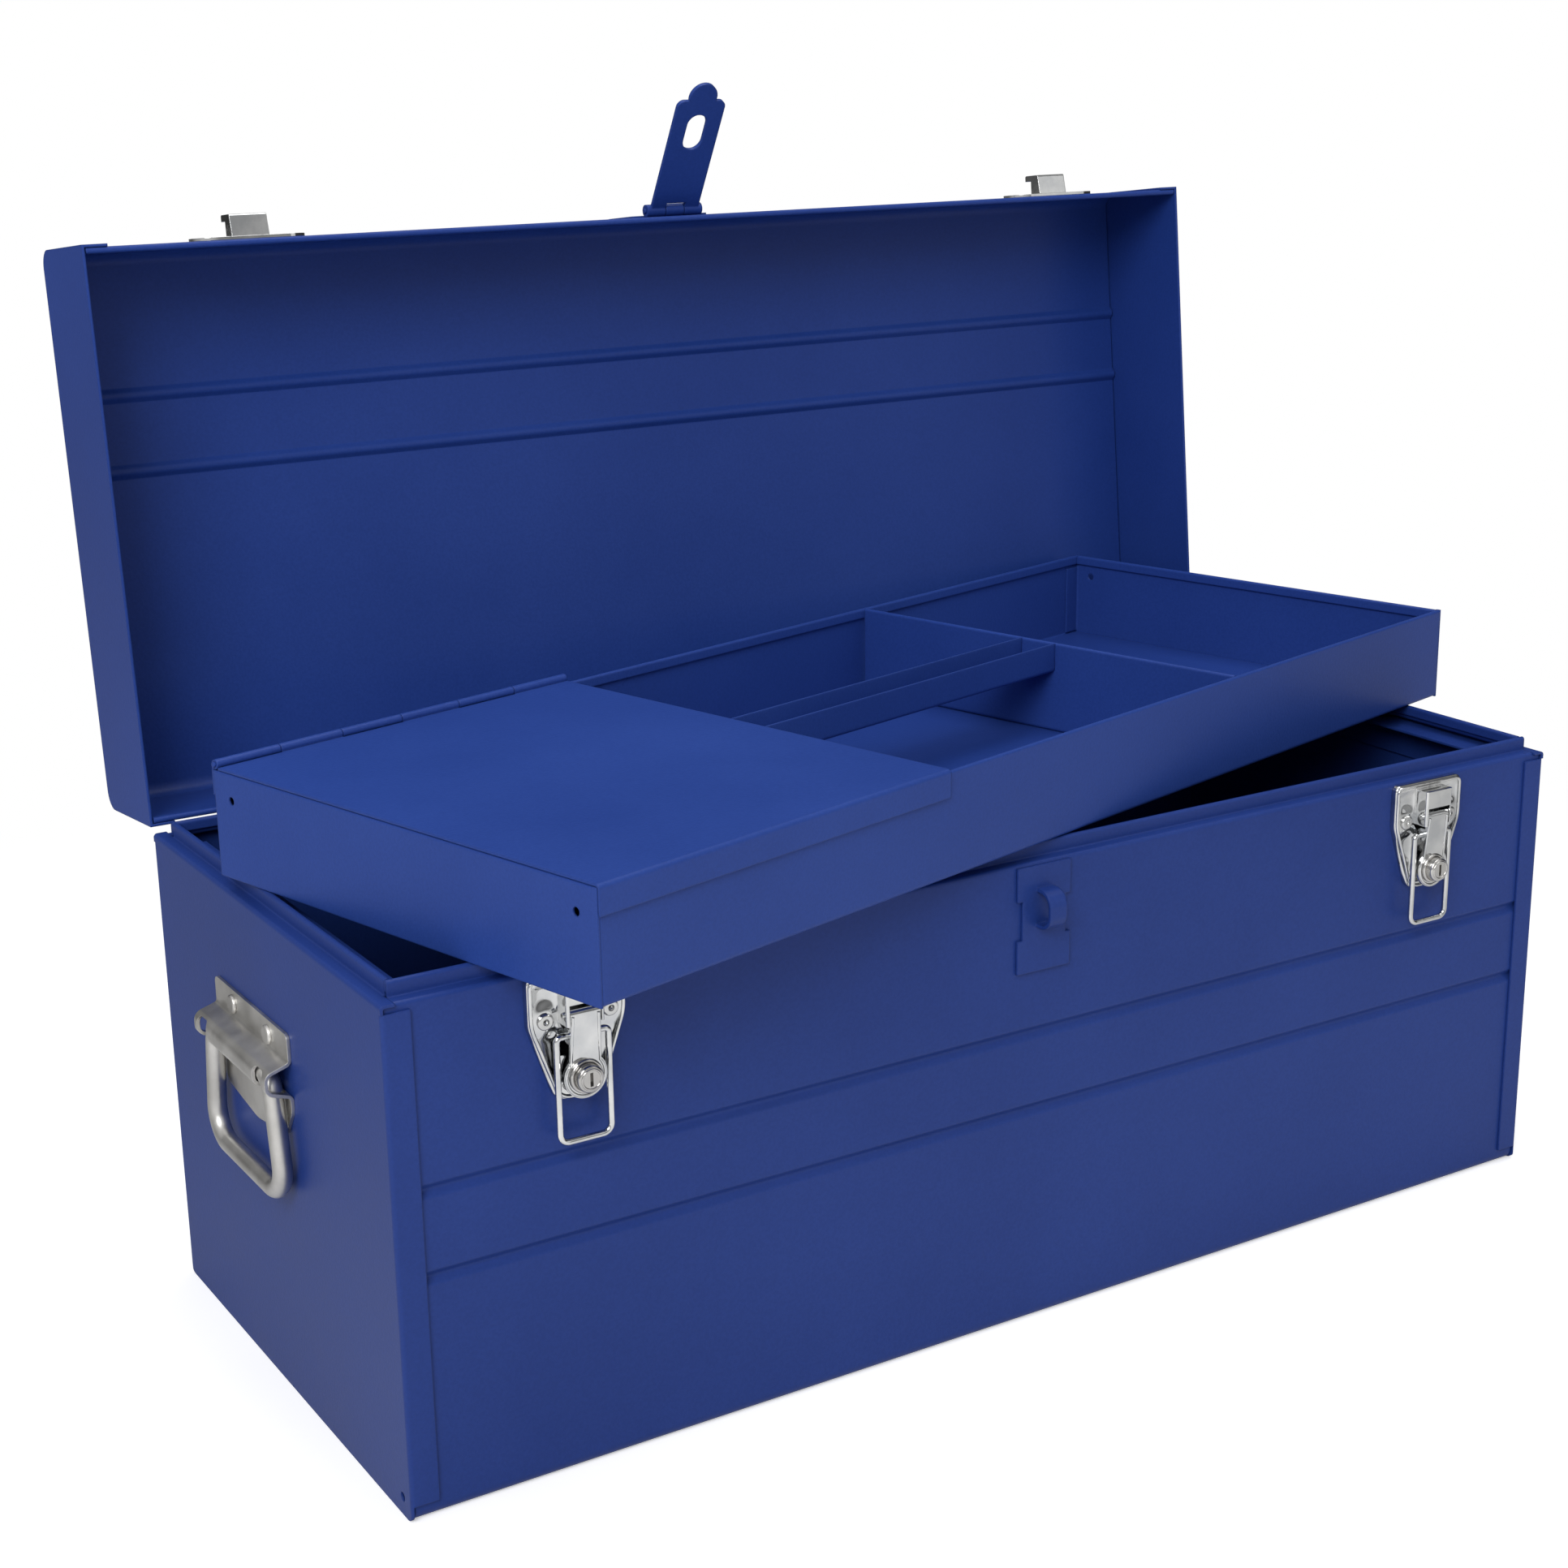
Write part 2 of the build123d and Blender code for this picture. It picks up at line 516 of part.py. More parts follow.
def latch_housing():
    """Raised box with two cheeks, open below and in front of the lever."""
    tall = LATCH_TOP - LATCH_CORNER - CHEEK_BOTTOM
    inside = CHEEK_WIDTH - 2 * CHEEK
    out_in_up = (Align.CENTER, Align.MAX, Align.MIN)
    box = Box(CHEEK_WIDTH, CHEEK_RISE - LATCH_RISE + LATCH_SKIN, tall, align=out_in_up)
    box = fillet(box.edges().filter_by(Axis.Z).group_by(Axis.Y)[0], LATCH_SKIN)
    housing = Pos(0, LATCH_SKIN - LATCH_RISE, CHEEK_BOTTOM) * box
    hollow = Box(inside, CHEEK_RISE - CHEEK, tall - CHEEK, align=out_in_up)
    housing -= Pos(0, 0, CHEEK_BOTTOM) * hollow
    window = Box(inside, 4 * CHEEK, LEVER_PIVOT_Z + LEVER_ROLL + LEVER_CLEAR - CHEEK_BOTTOM,
                 align=(Align.CENTER, Align.CENTER, Align.MIN))
    return housing - Pos(0, -CHEEK_RISE, CHEEK_BOTTOM) * window


def latch_plate():
    """Pressed plate with the raised housing whose cheeks carry the lever's pin."""
    body = extrude(latch_outline(0), amount=LATCH_RISE)
    body = fillet(body.faces().sort_by(Axis.Z)[-1].edges(), LATCH_SKIN)
    body -= extrude(latch_outline(LATCH_SKIN), amount=LATCH_RISE - LATCH_SKIN)
    whole = on_xz(body) + latch_housing()
    return on_front(whole - cross_hole(LEVER_PIVOT_OUT, LEVER_PIVOT_Z, LEVER_PIN_RADIUS, 2 * CHEEK_WIDTH))


def latch_pin():
    radius = LEVER_PIN_RADIUS - PIN_FIT
    return on_front(cross_hole(LEVER_PIVOT_OUT, LEVER_PIVOT_Z, radius, CHEEK_WIDTH + 2 * PIN_PROUD))


def rivet_head(radius, rise, edge):
    """A low dome on the XY plane."""
    dome = Cylinder(radius, rise, align=(Align.CENTER, Align.CENTER, Align.MIN))
    return fillet(dome.edges().sort_by(Axis.Z)[-1], edge)


def latch_rivets():
    """Two tubular rivets on the plate, each with a dimple."""
    head = rivet_head(LATCH_RIVET_RADIUS, LATCH_RIVET_RISE, RIVET_EDGE)
    head -= Pos(0, 0, LATCH_RIVET_RISE) * Sphere(LATCH_RIVET_RISE)
    out = LATCH_RISE + SEAM_GAP
    places = [Pos(side * LATCH_RIVET_X, -out, LATCH_RIVET_Z) for side in (-1, 1)]
    return [on_front(place * Rot(90, 0, 0) * head) for place in places]


def lock_place():
    """Axis of the lock on the lever's face, pointing out of the front."""
    return Pos(0, -(LEVER_PIVOT_OUT + LEVER_ROLL - LEVER_LEAN), LEVER_END_Z) * Rot(90, 0, 0)


def lever_blade(face):
    """The lever's sheet: level with the roll at its top, nearer the wall at its round end."""
    low = face - LEVER_LEAN
    path = Polyline((-face, LEVER_PIVOT_Z), (-low, LEVER_END_Z), (-low, LEVER_END_Z - LEVER_END_RADIUS))
    sheet = make_face(offset(path, amount=LEVER_SHEET, side=Side.LEFT))
    neck_height = LEVER_PIVOT_Z - LEVER_END_Z
    outline = Pos(0, LEVER_END_Z + neck_height / 2) * Rectangle(LEVER_WIDTH, neck_height)
    outline += Pos(0, LEVER_END_Z) * Circle(LEVER_END_RADIUS)
    front_view = on_xz(extrude(outline, amount=2 * CHEEK_RISE, both=True))
    return on_yz(extrude(sheet, amount=LEVER_END_RADIUS, both=True)) & front_view


def latch_lever():
    """Rolled round the pin, with two ears for the bail and a round end for the lock."""
    face = LEVER_PIVOT_OUT + LEVER_ROLL
    reach = face - BAIL_PIVOT_OUT - LEVER_SHEET / 2
    arm = Box(EAR_SHEET, reach, 2 * EAR_RADIUS, align=(Align.CENTER, Align.MAX, Align.CENTER))
    ear = Rot(0, 90, 0) * Cylinder(EAR_RADIUS, EAR_SHEET) + arm
    pieces = [lever_blade(face), cross_hole(LEVER_PIVOT_OUT, LEVER_PIVOT_Z, LEVER_ROLL, LEVER_WIDTH)]
    for side in (-1, 1):
        pieces.append(Pos(side * (LEVER_WIDTH - EAR_SHEET) / 2, -BAIL_PIVOT_OUT, BAIL_PIVOT_Z) * ear)
    lever = fused(pieces)
    lever -= cross_hole(LEVER_PIVOT_OUT, LEVER_PIVOT_Z, LEVER_PIN_RADIUS + PIN_CLEARANCE, CHEEK_WIDTH)
    lever -= cross_hole(BAIL_PIVOT_OUT, BAIL_PIVOT_Z, BAIL_WIRE + PIN_CLEARANCE, CHEEK_WIDTH)
    return on_front(lever - lock_place() * Cylinder(LOCK_RADIUS + PIN_CLEARANCE, 4 * LEVER_SHEET))


def latch_lock():
    """Lock cylinder with a collar and a key slot."""
    width, height, depth = KEYWAY
    collar = Cylinder(LOCK_RADIUS, LEVER_SHEET + LOCK_RISE, align=(Align.CENTER, Align.CENTER, Align.MIN))
    collar = fillet(collar.edges().sort_by(Axis.Z)[-1], RIVET_EDGE)
    slot = Box(width, height, depth, align=(Align.CENTER, Align.CENTER, Align.MAX))
    plug = collar - Pos(0, 0, LEVER_SHEET + LOCK_RISE) * slot
    return on_front(lock_place() * Pos(0, 0, -LEVER_SHEET) * plug)


def latch_bail():
    """Wire loop whose two ends turn inward into the lever's ears."""
    half = BAIL_HALF_WIDTH
    low = BAIL_PIVOT_Z - BAIL_LENGTH
    tip = LEVER_WIDTH / 2 - EAR_SHEET
    points = [(-tip, BAIL_PIVOT_Z), (-half, BAIL_PIVOT_Z), (-half, low), (half, low),
              (half, BAIL_PIVOT_Z), (tip, BAIL_PIVOT_Z)]
    path = Plane.XZ * FilletPolyline(*points, radius=[BAIL_ELBOW, BAIL_CORNER, BAIL_CORNER, BAIL_ELBOW])
    section = Plane((-tip, 0, BAIL_PIVOT_Z), x_dir=(0, 1, 0), z_dir=(-1, 0, 0)) * Circle(BAIL_WIRE)
    return on_front(Pos(0, -BAIL_PIVOT_OUT, 0) * sweep(section, path=path))


# ---- keeper, hasp and staple -------------------------------------------------------------------
def keeper():
    """Plate with a hook that a latch's bail pulls down, on the closed lid's front."""
    outline = RectangleRounded(KEEPER_WIDTH, KEEPER_HEIGHT, KEEPER_ROUND)
    plate = on_xz(extrude(outline, amount=KEEPER_SHEET))
    low = -HOOK_HEIGHT / 2
    lip = low + HOOK_HEIGHT + HOOK_LIP
    saddle = lip - HOOK_SEAT
    profile = [(0, low), (-HOOK_RISE, low + HOOK_LIP), (-HOOK_RISE, lip), (HOOK_TIP - HOOK_RISE, lip),
               (HOOK_TIP - HOOK_RISE, saddle), (0, saddle), (0, low)]
    hook = on_yz(extrude(make_face(Polyline(*profile)), amount=HOOK_WIDTH / 2, both=True))
    hook = fillet(hook.edges().filter_by(Axis.X).group_by(Axis.Y)[0], RIVET_EDGE)
    return on_front(Pos(0, 0, LID_RIM + KEEPER_CENTRE) * (plate + hook))


def strap_outline():
    """The slotted strap along +Y from the hinge line, with a shouldered round tip."""
    blade = Pos(0, STRAP_SHOULDER / 2) * Rectangle(STRAP_WIDTH, STRAP_SHOULDER)
    blade = fillet(blade.vertices().group_by(Axis.Y)[-1], STRAP_CORNER)
    blade += Pos(0, STRAP_LENGTH - STRAP_TIP_RADIUS) * Circle(STRAP_TIP_RADIUS)
    slot = SlotOverall(SLOT_END - SLOT_START, SLOT_WIDTH, rotation=90)
    return blade - Pos(0, (SLOT_START + SLOT_END) / 2) * slot


def hasp_frame(shape):
    """Puts a piece drawn about the hasp's hinge line on the front of the closed lid."""
    return on_front(Pos(0, -HASP_OUT, LID_RIM + HASP_V) * shape)


def hasp_knuckles(wanted):
    bore = HASP_PIN_RADIUS + PIN_CLEARANCE
    return knuckle_row(HASP_LENGTH, 3, HASP_BARREL, bore, KNUCKLE_GAP, wanted)


def hasp_bore(radius, length):
    return Rot(0, 90, 0) * Cylinder(radius, length)


def hasp_strap():
    """Slotted strap that folds down over the staple; at rest it leans out of the open lid."""
    blade = extrude(strap_outline(), amount=STRAP_SHEET / 2, both=True)
    blade -= Box(HASP_LENGTH / 3 + KNUCKLE_GAP, 2 * (HASP_BARREL + STRAP_SHEET), 2 * STRAP_SHEET)
    strap = fused([Pos(0, 0, -STRAP_DROP) * Rot(0, 0, 180) * blade] + hasp_knuckles((0, 2)))
    strap -= hasp_bore(HASP_PIN_RADIUS + PIN_CLEARANCE, HASP_LENGTH)
    return hasp_frame(Rot(STRAP_LEAN, 0, 0) * strap)


def hasp_leaf():
    """Plate on the lid's front that carries the middle knuckle."""
    out_in_up = (Align.CENTER, Align.MAX, Align.MIN)
    low = HASP_BARREL + KNUCKLE_GAP
    plate = Box(HASP_LEAF_WIDTH, KEEPER_SHEET, HASP_LEAF_HEIGHT - low, align=out_in_up)
    web = Box(HASP_LENGTH / 3 - KNUCKLE_GAP, KEEPER_SHEET, low + KEEPER_SHEET, align=out_in_up)
    pieces = [Pos(0, HASP_OUT, low) * plate, Pos(0, HASP_OUT - KNUCKLE_GAP, 0) * web]
    leaf = fused(pieces + hasp_knuckles((1,)))
    return hasp_frame(leaf - hasp_bore(HASP_PIN_RADIUS + PIN_CLEARANCE, HASP_LENGTH))


def hasp_pin():
    return hasp_frame(hasp_bore(HASP_PIN_RADIUS, HASP_LENGTH + 2 * PIN_PROUD))


def staple():
    """Plate with a bent band standing out of it, open to both sides for a padlock's shackle."""
    plate = Rectangle(STAPLE_WIDTH, STAPLE_HEIGHT)
    for side in (-1, 1):
        plate -= Pos(side * STAPLE_WIDTH / 2, 0) * Rectangle(2 * STAPLE_NOTCH, EYE_HEIGHT)
    plate = Pos(0, 0, LATCH_TOP - STAPLE_HEIGHT / 2) * on_xz(extrude(plate, amount=STAPLE_SHEET))
    bar = Rectangle(EYE_REACH, EYE_HEIGHT, align=(Align.MAX, Align.CENTER))
    bar = fillet(bar.vertices().group_by(Axis.X)[0], EYE_ROUND)
    room = Rectangle(EYE_REACH - EYE_BAND - STAPLE_SHEET, EYE_HEIGHT - 2 * EYE_BAND,
                     align=(Align.MAX, Align.CENTER))
    room = fillet(room.vertices().group_by(Axis.X)[0], EYE_ROUND - EYE_BAND)
    bar -= Pos(-STAPLE_SHEET, 0) * room
    eye = on_yz(extrude(bar, amount=EYE_WIDTH / 2, both=True))
    return on_front(plate + Pos(0, 0, EYE_Z) * eye)


# ---- end handle, drawn on the left end: local x is the distance out of the panel ----------------
def end_face(shape):
    """Puts a piece drawn in (out, y, z) on the left end panel."""
    return Pos(-HALF_LENGTH - SEAM_GAP, HANDLE_Y, 0) * Rot(0, 0, 180) * shape


def bracket_strip():
    """The pressed strap, bulged round the bar, with a square outline."""
    rise = BAR_RADIUS + BAR_GAP
    reach = BAR_OUT + rise
    foot = rise + BRACKET_FLARE
    crown = rise - BULGE_SLOPE
    points = [(0, BRACKET_TOP), (0, HANDLE_AXIS_Z + foot), (reach, HANDLE_AXIS_Z + crown),
              (reach, HANDLE_AXIS_Z - crown), (0, HANDLE_AXIS_Z - foot), (0, BRACKET_FOOT)]
    return on_xz(folded(points, BRACKET_BEND, BRACKET_SHEET, Side.LEFT, BRACKET_WIDTH))


def bracket_outline():
    """The strap seen from the end: square at the top, a shallow point at the foot."""
    half = BRACKET_WIDTH / 2
    waist = HANDLE_AXIS_Z - BRACKET_WAIST
    cheek = half - BRACKET_TAPER
    hip = BRACKET_FOOT + BRACKET_POINT
    outline = [(-half, BRACKET_TOP), (half, BRACKET_TOP), (half, waist), (cheek, hip),
               (0, BRACKET_FOOT), (-cheek, hip), (-half, waist)]
    bend, knee = BRACKET_BEND, BRACKET_KNEE
    radii = [bend, bend, knee, bend, BRACKET_TIP, bend, knee]
    return make_face(FilletPolyline(*outline, radius=radii, close=True))


def handle_bracket():
    """Strap that holds the bar, with a notch for each leg to swing in."""
    rise = BAR_RADIUS + BAR_GAP
    body = bracket_strip() & on_yz(extrude(bracket_outline(), amount=4 * BAR_OUT, both=True))
    low = HANDLE_AXIS_Z - rise - BRACKET_FLARE - BRACKET_BEND
    notch = Box(4 * BAR_OUT, 2 * (BAR_RADIUS + LEG_GAP), HANDLE_AXIS_Z + rise - low,
                align=(Align.MIN, Align.CENTER, Align.MIN))
    notch = fillet(notch.edges().filter_by(Axis.X), BRACKET_BEND)
    for side in (-1, 1):
        body -= Pos(BRACKET_SHEET + BAR_GAP / 2, side * LEG_TOP, low) * notch
    return end_face(body)


def handle_bail():
    """Round bar: a top run inside the bracket, two legs and a grip."""
    top = HANDLE_AXIS_Z
    low = top - GRIP_DROP
    start = BAR_SPLIT / 2
    points = [(start, top), (LEG_TOP, top), (LEG_BOTTOM, low), (-LEG_BOTTOM, low), (-LEG_TOP, top),
              (-start, top)]
    radii = [BAIL_BEND_TOP, BAIL_BEND_GRIP, BAIL_BEND_GRIP, BAIL_BEND_TOP]
    path = Plane.YZ * FilletPolyline(*points, radius=radii)
    section = Plane((0, start, top), x_dir=(1, 0, 0), z_dir=(0, 1, 0)) * Circle(BAR_RADIUS)
    return end_face(Pos(BAR_OUT, 0, 0) * sweep(section, path=path))


def handle_rivets():
    """Two domed rivets through the flat of the bracket."""
    head = rivet_head(HANDLE_RIVET_RADIUS, HANDLE_RIVET_HEAD, RIVET_EDGE)
    out = BRACKET_SHEET + SEAM_GAP
    places = [Pos(out, side * HANDLE_RIVET_Y, HANDLE_AXIS_Z + HANDLE_RIVET_UP) for side in (-1, 1)]
    return [end_face(place * Rot(0, 90, 0) * head) for place in places]


def build():
    nodes = {}
    nodes["body_shell"] = body_shell()
    nodes["body_end_left"] = body_end()
    nodes["body_end_right"] = mirrored(body_end())
    nodes["tray_ledge_left"] = tray_ledge()
    nodes["tray_ledge_right"] = mirrored(tray_ledge())
    body_leaf = Rot(0, 180, 0) * hinge_leaf(range(0, HINGE_KNUCKLES, 2))
    nodes["hinge_leaves_body"] = hinge_set(body_leaf)
    nodes["hinge_pins"] = hinge_set(hinge_pin())
    nodes["hinge_leaves_lid"] = opened(hinge_set(hinge_leaf(range(1, HINGE_KNUCKLES, 2))))
    nodes["lid_shell"] = opened(lid_shell())
    nodes["lid_end_left"] = opened(lid_end())
    nodes["lid_end_right"] = opened(mirrored(lid_end()))
    nodes["keeper_left"] = opened(Pos(-LATCH_X, 0, 0) * keeper())
    nodes["keeper_right"] = opened(Pos(LATCH_X, 0, 0) * keeper())
    nodes["hasp_leaf"] = opened(hasp_leaf())
    nodes["hasp_pin"] = opened(hasp_pin())
    nodes["hasp_strap"] = opened(hasp_strap())
    nodes["staple"] = staple()
    nodes["tray_shell"] = askew(tray_shell())
    nodes["tray_end_left"] = askew(tray_end())
    nodes["tray_end_right"] = askew(mirrored(tray_end()))
    nodes["tray_divider_left"] = askew(Pos(COVER_END_X, 0, 0) * divider())
    nodes["tray_divider_right"] = askew(Pos(DIVIDER_X, 0, 0) * divider())
    nodes["tray_trough"] = askew(trough())
    nodes["cover_hinge_leaf"] = askew(cover_leaf())
    nodes["cover_hinge_pin"] = askew(cover_bore(COVER_PIN_RADIUS, COVER_LENGTH + 2 * PIN_PROUD))
    nodes["tray_cover"] = askew(tray_cover())
    for name, x in (("left", -LATCH_X), ("right", LATCH_X)):
        place = Pos(x, 0, 0)
        nodes["latch_plate_" + name] = place * latch_plate()
        nodes["latch_pin_" + name] = place * latch_pin()
        nodes["latch_rivets_" + name] = Compound(children=[place * head for head in latch_rivets()])
        nodes["latch_lever_" + name] = place * latch_lever()
        nodes["latch_lock_" + name] = place * latch_lock()
        nodes["latch_bail_" + name] = place * latch_bail()
    nodes["handle_bracket_left"] = handle_bracket()
    nodes["handle_bracket_right"] = mirrored(handle_bracket())
    nodes["handle_bail_left"] = handle_bail()
    nodes["handle_bail_right"] = mirrored(handle_bail())
    nodes["handle_rivets_left"] = Compound(children=handle_rivets())
    nodes["handle_rivets_right"] = Compound(children=[mirrored(head) for head in handle_rivets()])
    return nodes


os.makedirs("parts", exist_ok=True)
for node_name, node_shape in build().items():
    export_step(node_shape, "parts/" + node_name + ".step")
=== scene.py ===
import json
from math import cos, radians, sin

import bmesh
import bpy
from mathutils import Matrix, Vector


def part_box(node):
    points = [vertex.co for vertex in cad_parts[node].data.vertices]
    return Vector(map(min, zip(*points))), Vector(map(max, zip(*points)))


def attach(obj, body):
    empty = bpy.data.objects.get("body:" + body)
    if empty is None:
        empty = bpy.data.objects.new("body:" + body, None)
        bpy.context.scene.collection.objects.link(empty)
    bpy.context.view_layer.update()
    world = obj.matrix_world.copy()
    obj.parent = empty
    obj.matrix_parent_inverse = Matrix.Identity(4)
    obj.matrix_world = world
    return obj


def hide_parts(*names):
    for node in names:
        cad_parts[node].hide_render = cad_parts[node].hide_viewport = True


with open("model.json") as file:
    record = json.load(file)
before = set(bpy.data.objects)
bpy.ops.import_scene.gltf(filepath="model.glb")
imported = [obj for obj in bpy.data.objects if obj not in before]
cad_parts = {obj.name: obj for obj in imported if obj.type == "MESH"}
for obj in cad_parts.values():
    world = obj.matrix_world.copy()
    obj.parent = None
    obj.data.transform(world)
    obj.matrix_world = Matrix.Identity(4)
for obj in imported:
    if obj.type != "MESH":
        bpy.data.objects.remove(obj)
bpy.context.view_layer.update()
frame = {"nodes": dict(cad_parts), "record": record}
NODES = frame["nodes"]
SIDES = ("left", "right")

# ---- paint and metal: depths and edges in metres, noises as scale per metre and detail ----------
NOISE_LOW, NOISE_HIGH = 0.3, 0.7        # the part of a noise's range that is used
RAMP_LOW, RAMP_HIGH = 0.35, 0.65        # and where it changes a colour
BEVEL_SAMPLES = 6
PAINT_IOR = 1.26
PAINT_COAT, PAINT_COAT_ROUGHNESS = 0.03, 0.3
PAINT_CLOUD = (7.0, 4.0)
GLOSSIER, DULLER = 0.03, 0.04           # how far the roughness strays
PEEL, PEEL_STRENGTH, PEEL_DEPTH = (900.0, 2.0), 0.40, 0.00012
FINE, FINE_DEPTH = (2200.0, 1.5), 0.00005
SPECKLE = (0.88, 0.90, 0.92)            # the darkest tint of the speckle
PAINT_EDGE = 0.0008
METAL_CLOUD = (60.0, 5.0)
WAVE, WAVE_DEPTH = (160.0, 1.5), 0.0003
GRAIN, GRAIN_DEPTH, GRAIN_SHARE = (900.0, 3.0), 0.00004, 0.6
METAL_EDGE = 0.0003

# ---- latches, in metres -------------------------------------------------------------------------
PLATE_FACE = -0.10885                   # front of the pressed plate
PLATE_KNEE = 0.017                      # where its sides start to taper, below the top
PLATE_FOOT = 0.0072                     # half width of its foot, at the rim
RIM_INSET = 0.0010
RIM_BEAD = 0.0007
RIM_TOP_CURVE, RIM_KNEE_CURVE, RIM_FOOT_CURVE = 0.0025, 0.003, 0.004
WING_INNER, WING_OUTER = 0.0072, 0.0158     # the hollow in each wing, from the latch's middle
WING_EDGE = 0.0020                      # it ends this far inside the plate's top and foot
WING_TOP_FADE = 2.5 * WING_EDGE         # and is at its full depth from here
WING_FOOT_FADE = 4 * WING_EDGE
WING_DEPTH = 0.0011
WING_SWELL = 0.7                        # below 1, the hollow's sides are steeper
WING_SKIN = 0.0016                      # how far behind the face the pressed sheet reaches
WING_CUTS = 16                          # strips across a wing
WING_ROWS = 4 * WING_CUTS               # and rows down the plate
CUT_TOLERANCE = 1e-7
SHARP_ANGLE = 35                        # degrees
BOSS_INNER, BOSS_OUTER = 0.0029, 0.0078     # flat round each rivet
LEVER_INSET = 0.0008
LEVER_NECK = 0.0054                     # half width of the lever's straight part
LEVER_TOP = 0.0026
LEVER_SPREAD = 42                       # degrees above level where the round end meets the neck
LEVER_BEAD = 0.00055
LOCK_RISE = 0.0042
COLLAR_RADIUS, COLLAR_BEAD = 0.0052, 0.0007
CAP_RADIUS, CAP_BEAD = 0.0034, 0.00045
RING_END = 351                          # degrees at a closed ring's last point
BEAD_RESOLUTION = 4

# ---- floor and studio ---------------------------------------------------------------------------
FLOOR = 6.0                             # half width
FLOOR_LIFT = 0.42                       # keeps the shadow beside the box pale
FLOOR_GREY = 0.82
WHITE_FROM, WHITE_TO = 0.28, 0.75       # the floor turns plain white between these distances
PAINTED_REFLECTION_LEFT, PAINTED_REFLECTION_RIGHT = 1.12, 0.80    # painted reflection: the floor's tone where a gloss shows it, in front, lighter on the left and darker on the right
PAINTED_REFLECTION_SIDE_FROM, PAINTED_REFLECTION_SIDE_TO = 0.0, 0.5
PAINTED_REFLECTION_BACK = 0.40                       # and behind the box, where the painted reflection is darker
PAINTED_REFLECTION_BACK_FROM, PAINTED_REFLECTION_BACK_TO = -0.2, 0.4
AMBIENT = 0.42
STUDIO_DARK, STUDIO_BRIGHT = 0.05, 0.65
STUDIO_FROM, STUDIO_TO = -0.2, 0.8      # cosines of the angle from the bright side
BRIGHT_SIDE = (-0.55, -0.35, 0.76)
LAMPS = (                               # name, place, aim, size in metres and watts
    ("key", (-1.5, -1.3, 1.6), (-0.05, 0, 0.2), (1.2, 1.2), 37.0),
    ("top", (0.3, 0.1, 2.0), (0, 0, 0.2), (1.6, 1.2), 17.0),
    ("fill", (1.3, -1.8, 0.9), (0, 0, 0.15), (1.0, 1.4), 3.0),
)
SENSOR, LENS, CLIP_END = 36.0, 57.79, 50.0
CAMERA = ((0.849578, 0.160134, -0.502567, -0.52384),
          (-0.527253, 0.230959, -0.817718, -0.78321),
          (-0.014872, 0.959695, 0.280649, 0.45865),
          (0, 0, 0, 1))


# ---- node trees ---------------------------------------------------------------------------------
def new_material(name):
    material = bpy.data.materials.new(name)
    material.use_nodes = True
    tree = material.node_tree
    tree.nodes.clear()
    output = tree.nodes.new("ShaderNodeOutputMaterial")
    return material, tree, output


def add(tree, kind, **values):
    """A node with its settings, or its sockets' values where no setting has that name."""
    node = tree.nodes.new(kind)
    for key, value in values.items():
        if hasattr(node, key):
            setattr(node, key, value)
        else:
            node.inputs[key.replace("_", " ")].default_value = value
    return node


def link_math(tree, operation, first, second):
    """A math node on two outputs or numbers."""
    node = add(tree, "ShaderNodeMath", operation=operation)
    for socket, value in zip(node.inputs, (first, second)):
        if isinstance(value, float):
            socket.default_value = value
        else:
            tree.links.new(value, socket)
    return node.outputs[0]


def map_range(tree, value, limits, interpolation="LINEAR"):
    """Maps a value from one range to another; limits are from low, from high, to low, to high."""
    node = add(tree, "ShaderNodeMapRange", interpolation_type=interpolation)
    for name, number in zip(("From Min", "From Max", "To Min", "To Max"), limits):
        node.inputs[name].default_value = number
    tree.links.new(value, node.inputs["Value"])
    return node.outputs["Result"]


def stretch(tree, value, start, end, low, high):
    return map_range(tree, value, (start, end, low, high), "SMOOTHSTEP")


def spread(tree, factor, low, high):
    return map_range(tree, factor, (NOISE_LOW, NOISE_HIGH, low, high))


def noise(tree, coords, scale, detail, roughness=0.55):
    node = add(tree, "ShaderNodeTexNoise", Scale=scale, Detail=detail, Roughness=roughness)
    tree.links.new(coords.outputs["Object"], node.inputs["Vector"])
    return node.outputs["Fac"]


def ramp(tree, factor, low, high):
    node = tree.nodes.new("ShaderNodeValToRGB")
    stops = ((RAMP_LOW, low), (RAMP_HIGH, high))
    for element, (position, colour) in zip(node.color_ramp.elements, stops):
        element.position = position
        element.color = (*colour, 1)
    tree.links.new(factor, node.inputs["Fac"])
    return node.outputs["Color"]


def bumps(tree, layers, edge):
    """Stacked bump nodes over a softened edge; a layer is (height, strength, depth)."""
    normal = add(tree, "ShaderNodeBevel", samples=BEVEL_SAMPLES, Radius=edge).outputs["Normal"]
    for height, strength, distance in layers:
        bump = add(tree, "ShaderNodeBump", Strength=strength, Distance=distance)
        tree.links.new(height, bump.inputs["Height"])
        tree.links.new(normal, bump.inputs["Normal"])
        normal = bump.outputs["Normal"]
    return normal


